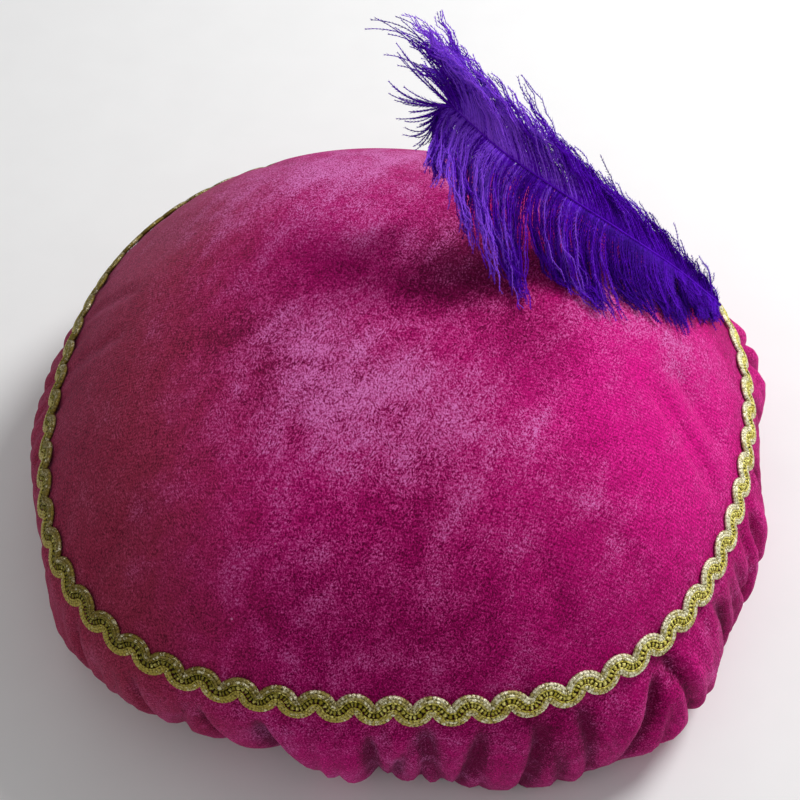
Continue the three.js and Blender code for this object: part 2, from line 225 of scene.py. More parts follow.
def crease_depth(bearing, share):
    x, y = share * RING_RADIUS * np.cos(bearing), share * RING_RADIUS * np.sin(bearing)
    depth = 0
    for ax, ay, bx, by, width, deep in CROWN_CREASES:
        along = ((x - ax) * (bx - ax) + (y - ay) * (by - ay)) / ((bx - ax) ** 2 + (by - ay) ** 2)
        t = np.clip(along, 0, 1)
        far = np.hypot(x - ax - t * (bx - ax), y - ay - t * (by - ay))
        depth = depth + deep * np.exp(-((far / width) ** 2))
    return depth * smoothstep(1 - share, *CREASE_RIM)


def points_of(radius, height, facing, bearing, lift):
    r = radius + lift * np.cos(facing)
    z = height + lift * np.sin(facing)
    return np.stack([r * np.cos(bearing), r * np.sin(bearing), z + 0 * bearing], axis=-1)


def crown_points(bearing, share, lift=0.0, fine=True):
    facing = math.pi / 2 - np.arctan(crown_slope(share))
    sink = dent_depth(bearing, share)
    if fine:
        away = (1 - share) * RING_RADIUS / math.sin(BRAID_TILT)
        sink = sink + CROWN_PUCKER * pucker_depth(bearing, away) + crease_depth(bearing, share)
    return points_of(share * ring_radius(bearing), crown_height(share), facing, bearing, lift - sink)


def belly_points(bearing, facing, lift=0.0, gathered=1.0, fine=True):
    round_ = belly_round(bearing)
    drop = FLOOR_DROP * (BRAID_TILT - facing) / (BRAID_TILT - floor_facing(bearing))
    radius = ring_radius(bearing) + round_ * (np.cos(facing) - math.cos(BRAID_TILT))
    radius = radius + swells(FOOT_SWELLS, bearing) * smoothstep(drop, FOOT_START, FLOOR_DROP)
    height = RING_HEIGHT + round_ * (np.sin(facing) - math.sin(BRAID_TILT))
    sink = gathered * gather_depth(bearing, drop) - bulge_height(bearing, drop)
    if fine:
        sink = sink + pucker_depth(bearing, round_ * (BRAID_TILT - facing))
    return points_of(radius, height, facing, bearing, lift - sink)


def underside_points(bearing, reach, gathered=1.0):
    facing = floor_facing(bearing)
    edge_r = ring_radius(bearing) + belly_round(bearing) * (np.cos(facing) - math.cos(BRAID_TILT))
    edge_r = edge_r + swells(FOOT_SWELLS, bearing)
    edge_z = RING_HEIGHT + belly_round(bearing) * (np.sin(facing) - math.sin(BRAID_TILT))
    radius = edge_r + (CASING_INNER + CASING_WIDTH - edge_r) * reach
    sink = gathered * (1 - reach) * gather_depth(bearing, FLOOR_DROP + (1 - FLOOR_DROP) * reach)
    return points_of(radius, (1 - reach) * edge_z, -math.pi / 2 + 0 * bearing, bearing, -sink)


def casing_points(bearing, width, height):
    pleat = sum(deep * np.sin(count * bearing + shift) for count, deep, shift in CASING_PLEATS)
    z = height + (PLEAT_MIDDLE + PLEAT_RISE * pleat) * (1 if height == 0 else UPPER_PLEAT)
    return points_of(CASING_INNER + width + 0 * bearing, z, 0 * bearing, bearing, PLEAT_SWAY * pleat)


# Meshes from arrays

def bearings(count):
    return np.arange(count) / count * TURN


def unit(v):
    return v / np.linalg.norm(v, axis=-1, keepdims=True)


def band(a, b, count):
    """Quads between two loops of as many points, which start at points a and b."""
    i = np.arange(count)
    j = (i + 1) % count
    return np.stack([a + i, b + i, b + j, a + j], 1)


def cone(tip, rim, count):
    """Triangles from one point to a loop."""
    i = np.arange(count)
    return np.stack([tip + 0 * i, rim + i, rim + (i + 1) % count], 1)


def widening(a, b, count):
    """Triangles from a loop to one with twice as many points."""
    i = np.arange(count)
    j, f, g, h = (i + 1) % count, 2 * i, 2 * i + 1, (2 * i + 2) % (2 * count)
    fans = ((a + i, b + f, b + g), (a + i, b + g, a + j), (a + j, b + g, b + h))
    return [np.stack(fan, 1) for fan in fans]


def loft(loops):
    """Faces between loops, each with as many points as the next, or twice or half as many, or one point."""
    starts = np.cumsum([0] + [len(loop) for loop in loops])
    quads, tris = [], []
    for k in range(len(loops) - 1):
        a, b, count, after = starts[k], starts[k + 1], len(loops[k]), len(loops[k + 1])
        if count == after:
            quads.append(band(a, b, count))
        elif count == 1:
            tris.append(cone(a, b, after))
        elif after == 1:
            tris.append(cone(b, a, count)[:, [1, 0, 2]])
        elif after == 2 * count:
            tris += widening(a, b, count)
        else:
            tris += [fan[:, [0, 2, 1]] for fan in widening(b, a, after)]
    return np.concatenate(loops), quads, tris


def mesh_object(name, points, quads=(), tris=(), smooth=True):
    """An object from points in mm and lists of face arrays."""
    faces = [f for group in (quads, tris) for f in group if len(f)]
    corners = np.concatenate([f.ravel() for f in faces]).astype(np.int32)
    sizes = np.concatenate([np.full(len(f), f.shape[1]) for f in faces]).astype(np.int32)
    mesh = bpy.data.meshes.new(name)
    mesh.vertices.add(len(points))
    mesh.vertices.foreach_set("co", (points * MM).astype(np.float32).ravel())
    mesh.loops.add(len(corners))
    mesh.loops.foreach_set("vertex_index", corners)
    mesh.polygons.add(len(sizes))
    mesh.polygons.foreach_set("loop_start", (np.cumsum(sizes) - sizes).astype(np.int32))
    mesh.polygons.foreach_set("use_smooth", np.full(len(sizes), smooth))
    mesh.update(calc_edges=True)
    mesh.validate()
    obj = bpy.data.objects.new(name, mesh)
    bpy.context.scene.collection.objects.link(obj)
    return obj


def attribute(obj, name, values):
    layer = obj.data.attributes.new(name, "FLOAT", "POINT")
    layer.data.foreach_set("value", values.astype(np.float32))


# Node materials

class Graph:
    """A material's node tree, with short calls for the nodes used here."""

    def __init__(self, name):
        self.material = bpy.data.materials.new(name)
        self.material.use_nodes = True
        self.tree = self.material.node_tree
        self.shader = self.tree.nodes["Principled BSDF"]

    def node(self, kind, inputs=(), **settings):
        made = self.tree.nodes.new(kind)
        for key, value in settings.items():
            setattr(made, key, value)
        for key, value in dict(inputs).items():
            self.plug(made.inputs[key], value)
        return made

    def plug(self, socket, value):
        if isinstance(value, bpy.types.NodeSocket):
            self.tree.links.new(value, socket)
        else:
            socket.default_value = value

    def set(self, **sockets):
        for key, value in sockets.items():
            self.plug(self.shader.inputs[key.replace("_", " ")], value)

    def place(self, stretch=1.0, turn=0.0):
        """Places on the object, for a pattern drawn out along a direction turned from +Y about Z."""
        here = self.node("ShaderNodeTexCoord").outputs["Object"]
        inputs = {"Vector": here, "Scale": (1, stretch, 1), "Rotation": (0, 0, turn)}
        return self.node("ShaderNodeMapping", inputs, vector_type="TEXTURE").outputs[0]

    def noise(self, place, scale, detail=2.0, rough=0.5, warp=0.0):
        inputs = {"Vector": place, "Scale": scale, "Detail": detail, "Roughness": rough, "Distortion": warp}
        return self.node("ShaderNodeTexNoise", inputs).outputs["Fac"]

    def stripes(self, place, scale, warp):
        inputs = {"Vector": place, "Scale": scale, "Distortion": warp, "Detail": 1.0}
        return self.node("ShaderNodeTexWave", inputs).outputs["Fac"]

    def value(self, name):
        return self.node("ShaderNodeAttribute", attribute_name=name).outputs["Fac"]

    def math(self, operation, first, second=0.0):
        return self.node("ShaderNodeMath", {0: first, 1: second}, operation=operation).outputs[0]

    def centred(self, value):
        """A pattern from 0 to 1 moved to lie about 0."""
        return self.math("SUBTRACT", value, 0.5)

    def add(self, *terms):
        """Sum of values, each given alone or as a pair with its weight."""
        total = 0.0
        for term in terms:
            value = self.math("MULTIPLY", *term) if isinstance(term, tuple) else term
            total = self.math("ADD", total, value)
        return total

    def span(self, value, low, high, to_low=0.0, to_high=1.0):
        inputs = {"Value": value, "From Min": low, "From Max": high, "To Min": to_low, "To Max": to_high}
        return self.node("ShaderNodeMapRange", inputs, interpolation_type="SMOOTHSTEP").outputs[0]

    def mix(self, share, first, second, blend="MIX"):
        made = self.node("ShaderNodeMix", data_type="RGBA", blend_type=blend)
        colours = [s for s in made.inputs if s.type == "RGBA"]
        self.plug(made.inputs[0], share)
        self.plug(colours[0], first)
        self.plug(colours[1], second)
        return [s for s in made.outputs if s.type == "RGBA"][0]

    def bump(self, height, distance, strength=1.0):
        inputs = {"Height": height, "Distance": distance, "Strength": strength}
        self.set(Normal=self.node("ShaderNodeBump", inputs).outputs[0])


def colour(red, green, blue):
    """A linear colour from its everyday 0 to 255 values."""
    shares = (red / 255, green / 255, blue / 255)
    linear = [c / 12.92 if c <= 0.04045 else ((c + 0.055) / 1.055) ** 2.4 for c in shares]
    return (*linear, 1.0)


# Velvet side, settled as gathered cloth between the braid and the casing

FULL = 512  # columns round the side
BELLY_ROWS = 46
UNDER_ROWS = 26
SETTLE_STEPS = 260
PRESSURE = 0.012  # mm of puffing at each step
SPRING = 0.3
BENDING = 0.008
HOLD = 0.02  # pull towards the gathers' first form
MOST_MOVE = 6.0  # mm that a point of the cloth may move from it
SEWN = (3.5, 10.0)  # mm from the braid's middle where the cloth starts to be free, and is free
UNEVENNESS = 0.25  # mm by which the cloth is uneven before it settles
LOWEST = 0.05  # mm above the floor that the settled cloth stays

# share of the way from the braid to the casing, and the cloth's fullness there
FULLNESS = np.array([(0, 1.0), (0.05, 1.08), (0.15, 1.25), (0.4, 1.4), (0.6, 1.3), (1.0, 1.15)])


def side_rows(gathered):
    """Rows of points from the braid down the side and in to the casing."""
    b = bearings(FULL)
    rows = [crown_points(b, 1.0)]
    for fall in np.linspace(0, 1, BELLY_ROWS + 1)[1:]:
        facing = BRAID_TILT + (floor_facing(b) - BRAID_TILT) * fall
        rows.append(belly_points(b, facing, gathered=gathered))
    for reach in np.linspace(0, 1, UNDER_ROWS + 1)[1:]:
        rows.append(underside_points(b, reach, gathered))
    return np.stack(rows)


def outward(cloth):
    around = np.roll(cloth, -1, 1) - np.roll(cloth, 1, 1)
    down = np.gradient(cloth, axis=0)
    return unit(np.cross(down, around))


def spring_shift(gap, rest):
    """How far one end of each spring moves, half of the spring's whole change."""
    length = np.linalg.norm(gap, axis=-1, keepdims=True)
    return 0.5 * SPRING * (1 - rest[..., None] / length) * gap


def curl(cloth):
    """How far each point lies from the middle of its neighbours, along both directions of the cloth."""
    bend = np.roll(cloth, 1, 1) + np.roll(cloth, -1, 1) - 2 * cloth
    bend[1:-1] += cloth[2:] + cloth[:-2] - 2 * cloth[1:-1]
    return bend


def settle(home, smooth):
    """Lets the gathered cloth puff out and buckle between its two sewn edges."""
    rows = len(home)
    around = np.linalg.norm(np.roll(smooth, -1, 1) - smooth, axis=-1)
    around *= np.interp(np.linspace(0, 1, rows), *FULLNESS.T)[:, None]
    down = np.linalg.norm(np.diff(smooth, axis=0), axis=-1)
    far = np.concatenate([np.zeros((1, FULL)), np.cumsum(down, 0)])
    free = smoothstep(far, *SEWN)[..., None]
    free[-1] = 0
    cloth = home + free * random.normal(0, UNEVENNESS, (rows, FULL, 1)) * outward(home)
    for _ in range(SETTLE_STEPS):
        move = PRESSURE * outward(cloth) + HOLD * (home - cloth)
        shift = spring_shift(np.roll(cloth, -1, 1) - cloth, around)
        move += shift - np.roll(shift, 1, 1)
        shift = spring_shift(np.diff(cloth, axis=0), down)
        move[:-1] += shift
        move[1:] -= shift
        move -= BENDING * curl(curl(cloth))
        away = free * (cloth + move - home)
        reach = np.linalg.norm(away, axis=-1, keepdims=True)
        cloth = home + away * np.minimum(1, MOST_MOVE / np.maximum(reach, MOST_MOVE))
        cloth[..., 2] = np.maximum(cloth[..., 2], LOWEST)
    return cloth


# Velvet cap

# share of the crown's radius from and to, loops, columns
CROWN_LOOPS = [(0.03, 0.12, 4, 32), (0.15, 0.26, 5, 64), (0.28, 0.46, 10, 128), (0.48, 0.72, 18, 256),
               (0.733, 0.99, 29, FULL)]
LINING_LOOPS = [(0.985, 0.75, 10, 256), (0.72, 0.5, 8, 128), (0.46, 0.2, 6, 64), (0.15, 0.06, 2, 32)]
CASING_STEPS = [(12.6, 0), (12.0, 0), (9, 0), (6, 0), (3, 0), (1, 0), (0.3, 0.9), (0, 2.5), (0.3, 4.2)]
CASING_INSIDE = [2, 6, 10]
CASING_GROOVE = 1.2  # depth of the seam that closes the casing
FLOOR_GAP = 0.02  # mm above the floor that every part of the cloth stays
LINING_START = 4  # rows of the side up from the casing where the lining starts
LINING_STEP = 3  # rows of the side for each of the lining
HOLLOW_SHARE = 40  # a point's depth is taken from one part in so many of the loop, to both sides


def crown_loops(table, lift, fine):
    return [crown_points(bearings(columns), share, lift, fine)
            for low, high, count, columns in table for share in np.linspace(low, high, count)]


def velvet_loops():
    """Loops of points from the crown's middle, down the outside to the casing, and up the inside."""
    side = side_rows(1.0)
    side = settle(side, side_rows(0.0))
    outside = [crown_points(np.zeros(1), 0.0)] + crown_loops(CROWN_LOOPS, 0, True) + list(side[:-1])
    for width, height in CASING_STEPS:
        loop = casing_points(bearings(FULL), width, height)
        loop[:, 2] += CASING_GROOVE if width == CASING_WIDTH else 0
        outside.append(loop)
    for loop in outside:
        loop[:, 2] = np.maximum(loop[:, 2], FLOOR_GAP)
    half = bearings(FULL // 2)
    inside = [casing_points(half, width, CASING_THICKNESS) for width in CASING_INSIDE]
    lining = side - CLOTH * outward(side)
    inside += list(lining[-LINING_START:0:-LINING_STEP, ::2])
    inside += crown_loops(LINING_LOOPS, -CLOTH, False) + [crown_points(np.zeros(1), 0.0, -CLOTH, False)]
    return outside + inside


# patches on the crown, partly the lie of the pile and partly painted light and shade: plan x and y in mm,
# spread in mm, how much painted sheen it has, and how warm it is, which includes painted light and shadow
PILE_AND_LIGHT_PATCHES = [
    (-8, -46, 32, 1.0, 0.0), (-30, -14, 28, 0.5, -0.1), (20, -52, 16, 0.6, 0.1), (-45, -50, 28, 0.35, -0.2),
    (-56, -12, 24, 0.15, -0.2), (-42, 74, 40, 0.9, 0.1), (-81, 50, 25, 0.5, 0.2), (10, 100, 50, 0.8, 0.2),
    (48, -52, 12, 0.5, 0.3), (50, -20, 18, 0.3, -0.3), (78, -35, 30, 0.0, 0.7), (104, -36, 28, 0.05, 1.1),
    (94, 2, 22, 0.7, 0.8), (74, 3, 12, 0.9, 0.7), (112, -3, 20, 0.3, 0.9), (98, -78, 24, 0.0, 0.5),
    (9, -77, 22, 0.15, -0.2), (46, -82, 22, 0.35, 0.1), (70, -91, 18, 0.2, 0.05),
    (53, -110, 26, 0.05, -0.05), (15, -123, 34, 0.15, -0.28), (-35, -112, 30, 0.25, -0.25),
    # painted shadow of the plume on the crown
    (25, 21, 30, 0.0, -0.8),
]

# plan x in mm, and how warm the pile on the side is there, partly as painted light and shade, and how much
# painted sheen it has
SIDE_PILE_AND_LIGHT = np.array([(-120, 0.15, 0.1), (-40, -0.15, 0.4), (60, -0.5, 0.15), (130, 0.1, 0.1)])
SIDE_TOP = (45, 72)  # mm up where the side's pile and painted light give way to those of the crown


def hollows(loops):
    """How far in mm every point of the cloth lies below the cloth around it."""
    deep = []
    for loop in loops:
        radius = np.linalg.norm(loop, axis=1)
        reach = max(1, len(loop) // HOLLOW_SHARE)
        around = sum(np.roll(radius, step) for step in range(-reach, reach + 1)) / (2 * reach + 1)
        deep.append(around - radius)
    return np.concatenate(deep)


def velvet_cap():
    loops = velvet_loops()
    points, quads, tris = loft(loops)
    cap = mesh_object("velvet_cloth", points, quads, tris)
    # depth of the hollows, which the material uses for painted shade in the creases
    attribute(cap, "hollow_for_painted_shade", hollows(loops))
    x, y, z = points.T
    over = smoothstep(z, *SIDE_TOP)
    tone_and_painted_light = (1 - over) * np.interp(x, SIDE_PILE_AND_LIGHT[:, 0], SIDE_PILE_AND_LIGHT[:, 1])
    painted_sheen = (1 - over) * np.interp(x, SIDE_PILE_AND_LIGHT[:, 0], SIDE_PILE_AND_LIGHT[:, 2])
    for px, py, spread, patch_painted_sheen, patch_tone_and_light in PILE_AND_LIGHT_PATCHES:
        near = over * np.exp(-((x - px) ** 2 + (y - py) ** 2) / spread**2)
        painted_sheen = painted_sheen + patch_painted_sheen * near
        tone_and_painted_light = tone_and_painted_light + patch_tone_and_light * near
    attribute(cap, "painted_sheen", painted_sheen)
    attribute(cap, "tone_and_painted_light", tone_and_painted_light)
    cap.data.materials.append(velvet_material())
    return cap


# colours of the velvet in the light, and of its duller left side, which is partly painted shade
VELVET_DEEP = (colour(112, 2, 62), colour(100, 18, 48))
VELVET_BODY = (colour(178, 6, 106), colour(146, 42, 70))
VELVET_HOT = (colour(218, 20, 136), colour(166, 60, 88))
# painted sheen: colours of the pale lilac flecks, on the lit side and on the shaded left
VELVET_PAINTED_SHEEN = (colour(214, 122, 190), colour(180, 96, 136))
LINT = colour(226, 150, 196)
LINT_SCALE = 70
LINT_EDGE = (0.05, 0.02)
LINT_RARITY = (0.72, 0.95)

# patterns: scale, detail, roughness and warp
CRUSH = (46, 6, 0.66, 0.4)
STROKES = (100, 5, 0.62)
LEFT_TUFTS = (1850, 3, 0.8)
RIGHT_TUFTS = (1750, 3, 0.8)
LEAN = (150, 2)
# how far a pattern is drawn out, and the turn of its direction in radians
STROKE_LIE = (3.2, -0.5)
LEFT_LIE = (2.2, 0.3)
RIGHT_LIE = (2.2, -0.45)
KNIT_LIE = (1.0, -1.7)
KNIT_SCALE = 250
KNIT_WARP = 2.0
SHADED_LEFT_EDGE = (-0.03, -0.105)  # x in metres where the duller left side, partly painted shade, starts, and is dullest
KNIT_EDGE = (-0.02, 0.07)  # x in metres where the knit's rows start to show, and show most
KNIT_SHOWS = (0.08, 0.26)
TUFT_SHADE = (0.46, 1.48)  # how dark and how light the tufts make the colour


def lint_specks(g):
    """A few pale specks of lint, each about a millimetre across."""
    cells = g.node("ShaderNodeTexVoronoi", {"Vector": g.place(), "Scale": LINT_SCALE})
    some = g.node("ShaderNodeSeparateColor", {0: cells.outputs["Color"]}).outputs[0]
    near = g.span(cells.outputs["Distance"], *LINT_EDGE)
    return g.math("MULTIPLY", near, g.span(some, *LINT_RARITY, 0.0, 0.8))


def velvet_tufts(g):
    """Fine tufts of pile, which lean to the left in some places and to the right in others."""
    left = g.noise(g.place(*LEFT_LIE), *LEFT_TUFTS)
    right = g.noise(g.place(*RIGHT_LIE), *RIGHT_TUFTS)
    lean = g.span(g.noise(g.place(), *LEAN), 0.42, 0.58)
    return g.add((left, g.math("SUBTRACT", 1.0, lean)), (right, lean))


def velvet_ground(g, x, tone_and_painted_light, dull_and_shaded, knit):
    """Colour under the tufts: deep in painted shade and shadow and where the pile is darker, hot where the
    pile is warmer and painted light falls, duller on the partly shaded left side, with the knit's rows.
    """
    deep, body, hot = [g.mix(dull_and_shaded, *pair) for pair in (VELVET_DEEP, VELVET_BODY, VELVET_HOT)]
    base = g.mix(g.span(tone_and_painted_light, -0.75, 0.05), deep, body)
    base = g.mix(g.span(tone_and_painted_light, 0.0, 1.0), base, hot)
    rows = g.math("MULTIPLY", g.span(knit, 0.2, 0.8), g.span(x, *KNIT_EDGE, *KNIT_SHOWS))
    return g.mix(rows, base, deep)


def velvet_material():
    g = Graph("velvet")
    x = g.node("ShaderNodeSeparateXYZ", {0: g.place()}).outputs[0]
    crush = g.noise(g.place(), *CRUSH)
    strokes = g.noise(g.place(*STROKE_LIE), *STROKES)
    tufts = velvet_tufts(g)
    knit = g.stripes(g.place(*KNIT_LIE), KNIT_SCALE, KNIT_WARP)
    rough = g.add((g.centred(crush), 1.3), (g.centred(strokes), 1.2))
    painted_sheen = g.add((g.value("painted_sheen"), 0.75), (rough, 1.3))
    # pile warmth with painted light on the right and the plume's painted shadow, and painted shade in the
    # hollows
    tone_and_painted_light = g.add(g.value("tone_and_painted_light"), (rough, 0.7), (g.centred(tufts), 2.0), (g.value("hollow_for_painted_shade"), -0.22))
    # painted shade of the left side, partly the duller lie of its pile
    dull_and_shaded = g.span(g.add(x, (rough, 0.03)), *SHADED_LEFT_EDGE)
    base = velvet_ground(g, x, tone_and_painted_light, dull_and_shaded, knit)
    base = g.mix(1.0, base, g.span(tufts, 0.32, 0.68, *TUFT_SHADE), "MULTIPLY")
    # painted sheen: pale lilac flecks where the pile would catch the light
    fleck = g.span(g.add(tufts, (painted_sheen, 0.12)), 0.52, 0.7)
    fleck = g.math("MULTIPLY", fleck, g.span(painted_sheen, -0.4, 0.9, 0.06, 0.95))
    base = g.mix(fleck, base, g.mix(dull_and_shaded, *VELVET_PAINTED_SHEEN))
    base = g.mix(lint_specks(g), base, LINT)
    g.set(Base_Color=base, Roughness=0.8, Specular_IOR_Level=0.06)
    g.set(Sheen_Weight=0.18, Sheen_Roughness=0.35, Sheen_Tint=(1.0, 0.4, 0.75, 1.0))
    g.bump(g.add(tufts, (crush, 1.2), (knit, 0.15)), 0.0007, 0.6)
    return g.material


# Gimp braid

WINDINGS = 67
PITCH = TURN * RING_RADIUS / WINDINGS
STEEPEST = math.radians(60)  # slope of the band where it crosses the braid's middle line
ARC = PITCH / 4 / math.sin(STEEPEST)  # radius of the band's middle line in every hump
HUMP_STEPS = 32

# place across the band, radius, lift of the cord's middle off the cloth, mean length of a bead of its
# wound metal thread, all in mm, and how deep the beads are cut
EDGE_CORDS = [(-3.05, 0.78, 0.85, 1.26, 0.12), (-2.05, 0.72, 1.15, 1.155, 0.12),
              (2.05, 0.72, 1.15, 1.155, 0.12), (3.05, 0.78, 0.85, 1.26, 0.12)]
INNER_CORDS = [(-1.3, 0.4, 1.45, 1.26, 0.1), (0, 0.9, 0.8, 1.575, 0.32), (1.3, 0.4, 1.45, 1.259, 0.1)]
CORD_SIDES = 5
BEAD_LENGTHS = (0.6, 1.4)  # least and most, as shares of the mean
BEAD_CUTS = (0.5, 1.2)


def beside_braid(bearing, across, lift):
    """Points over the cloth beside the braid's middle line; across is towards the crown."""
    inward = np.maximum(across, 0) * math.sin(BRAID_TILT) / ring_radius(bearing)
    over = crown_points(bearing, 1 - inward, lift, fine=False)
    below = BRAID_TILT + np.minimum(across, 0) / belly_round(bearing)
    under = belly_points(bearing, below, lift, fine=False)
    return np.where((across > 0)[:, None], over, under)


def cord_line(place, lift):
    """A cord of the band, in humps to both sides of the middle line, each an arc round the same point."""
    swing = (np.arange(HUMP_STEPS) / HUMP_STEPS * 2 - 1) * STEEPEST
    centre = ARC * math.cos(STEEPEST)
    upper_x, upper_y = (ARC + place) * np.sin(swing), (ARC + place) * np.cos(swing) - centre
    lower_x, lower_y = (ARC - place) * np.sin(swing) + PITCH / 2, centre - (ARC - place) * np.cos(swing)
    along = np.concatenate([upper_x, lower_x])[None] + PITCH * np.arange(WINDINGS)[:, None]
    across = np.tile(np.concatenate([upper_y, lower_y]), WINDINGS)
    return beside_braid(along.ravel() / RING_RADIUS, across, lift)


def tube(centre, radius, sides, closed):
    """A tube round a line of points, with a radius for each point. Returns points and quads."""
    ahead = np.roll(centre, -1, 0) - np.roll(centre, 1, 0) if closed else np.gradient(centre, axis=0)
    ahead = unit(ahead)
    side = unit(np.cross(ahead, np.array([0, 0, 1.0])))
    up = np.cross(side, ahead)
    angle = bearings(sides)
    ring = np.cos(angle)[None, :, None] * side[:, None] + np.sin(angle)[None, :, None] * up[:, None]
    points = centre[:, None] + radius[:, None, None] * ring
    n = len(centre)
    i, j = np.meshgrid(np.arange(n if closed else n - 1), np.arange(sides), indexing="ij")
    k, m = (i + 1) % n, (j + 1) % sides
    quads = np.stack([i * sides + j, i * sides + m, k * sides + m, k * sides + j], -1).reshape(-1, 4)
    return points.reshape(-1, 3), quads


def cords(name, table):
    """Cords wound with metal thread, in beads of uneven length and size, with painted glints that differ
    from bead to bead.
    """
    points, quads, sizes, painted_glints, gilts, start = [], [], [], [], [], 0
    for place, radius, lift, bead_length, cut in table:
        line = cord_line(place, lift)
        run = np.cumsum(np.linalg.norm(line - np.roll(line, 1, 0), axis=1))
        beads = round(run[-1] / bead_length)
        ends = np.concatenate([[0], np.cumsum(random.uniform(*BEAD_LENGTHS, beads))])
        phase = np.interp(run, ends * run[-1] / ends[-1], np.arange(beads + 1))
        bead = phase.astype(int) % beads
        depth = cut * random.uniform(*BEAD_CUTS, beads)[bead]
        swell = 1 - depth * np.cos(TURN * phase)
        p, q = tube(line, radius * swell, CORD_SIDES, True)
        points.append(p)
        quads.append(q + start)
        sizes.append(np.repeat(swell, CORD_SIDES))
        # painted glint of each bead, at random
        painted_glints.append(np.repeat(random.uniform(0, 1, beads)[bead], CORD_SIDES))
        gilts.append(np.full(len(p), 1.0 if place < 0 else 0.0))
        start += len(p)
    made = mesh_object(name, np.concatenate(points), quads)
    attribute(made, "bead", np.concatenate(sizes))
    attribute(made, "painted_glint", np.concatenate(painted_glints))
    attribute(made, "gilt", np.concatenate(gilts))
    return made


# colours of the threads: painted shade in the gaps between beads, painted shade of the left side, the lit
# right side, and painted glints
SILVER_THREAD = (colour(84, 70, 24), colour(136, 118, 44), colour(206, 194, 124), colour(255, 250, 220))
GOLD_THREAD = (colour(40, 32, 6), colour(128, 116, 22), colour(200, 184, 40), colour(252, 242, 140))
GILT = colour(204, 186, 78)  # of the cords below the braid's middle line
GILT_SHARE = 0.6
THREAD_GRAIN = (1300, 4, 0.85)  # scale, detail and roughness
LIT_RIGHT_EDGE = (-0.1, 0.11)  # x in metres where the painted light of the right side starts and is full


def gimp_material(name, gap_shade, left, right, glint_colour):
    g = Graph(name)
    x = g.node("ShaderNodeSeparateXYZ", {0: g.place()}).outputs[0]
    grain = g.noise(g.place(), *THREAD_GRAIN)
    right_light = g.span(x, *LIT_RIGHT_EDGE)
    bead = g.span(g.add(g.value("bead"), (g.centred(grain), 1.1)), 0.8, 1.06)
    gilt = g.value("gilt")
    # painted glints: random beads and grains lit bright, more of them on the lit right side
    painted_glint = g.add((g.value("painted_glint"), 0.4), (grain, 1.6), (right_light, 0.3), (gilt, -0.06))
    painted_glint = g.span(painted_glint, 1.08, 1.42)
    # painted light and shade: the shaded left colour gives way to the lit right one
    metal = g.mix(right_light, left, right)
    metal = g.mix(g.math("MULTIPLY", gilt, GILT_SHARE), metal, GILT)
    # painted shade in the narrow gaps between the beads
    base = g.mix(bead, gap_shade, metal)
    base = g.mix(g.math("MULTIPLY", painted_glint, bead), base, glint_colour)
    g.set(Base_Color=base, Metallic=0.6, Roughness=g.span(grain, 0.3, 0.7, 0.55, 0.3))
    g.bump(grain, 0.0005, 0.7)
    return g.material


def gimp_braid():
    edges = cords("gimp_edges", EDGE_CORDS)
    edges.data.materials.append(gimp_material("gimp_silver", *SILVER_THREAD))
    inner = cords("gimp_cords", INNER_CORDS)
    inner.data.materials.append(gimp_material("gimp_gold", *GOLD_THREAD))
    return edges, inner


# Ostrich plume

# x, y, z and radius of the shaft in mm
PLUME_SHAFT = np.array([
    (130, 38, 70, 2.0), (108, 34.5, 95, 1.9), (84, 31.5, 118, 1.7), (60, 32.5, 137, 1.5),
    (37, 37.5, 153, 1.3), (23.5, 44.5, 162, 1.1), (16, 52.5, 163, 1.0), (11.5, 53.5, 153, 0.9),
    (11, 50.5, 143, 0.8),
])
SHAFT_SHARE = 0.3  # of the shaft's radius that shows between the barbs
SHAFT_STEPS = 60
SHAFT_SIDES = 8
SHAFT_TONE = 0.35
NEAR_END = 0.99999  # share along the shaft that stands for its end
ROOT_FACE = unit(np.array([0.35, -0.2, 0.9]))  # where the face of the vanes looks at the root
TIP_FACE = unit(np.array([0.0, -0.63, 0.78]))  # and from the middle on

# share along the shaft, length in mm, degrees from the shaft at the barb's root and at its end
UPPER_BARBS = np.array([
    (0.0, 14, 46, 18), (0.125, 31, 48, 18), (0.25, 48, 48, 17), (0.375, 53, 47, 13), (0.5, 53, 46, 9),
    (0.6, 45, 48, 6), (0.66, 40, 52, 0), (0.72, 37, 56, -10), (1.0, 10, 40, 20),
])
LOWER_BARBS = np.array([
    (0.0, 16, 54, 76), (0.125, 33, 64, 104), (0.25, 46, 74, 132), (0.375, 55, 76, 144), (0.5, 60, 74, 145),
    (0.57, 52, 78, 143), (0.63, 40, 84, 140), (0.7, 28, 92, 124), (0.78, 23, 62, 70), (0.875, 22, 32, 30),
    (1.0, 15, 12, 14),
])
UPPER_BEND = 1.5  # 1 for barbs that bend evenly, more for those that bend near the shaft
LOWER_BEND = 3.0
# share of all the barbs of a side, and how far along the shaft they reach
UPPER_SPREAD = np.array([(0, 0.004), (0.25, 0.16), (0.9, 0.66), (1, 0.735)])
LOWER_SPREAD = np.array([(0, 0.004), (0.25, 0.16), (0.74, 0.62), (1, 1)])

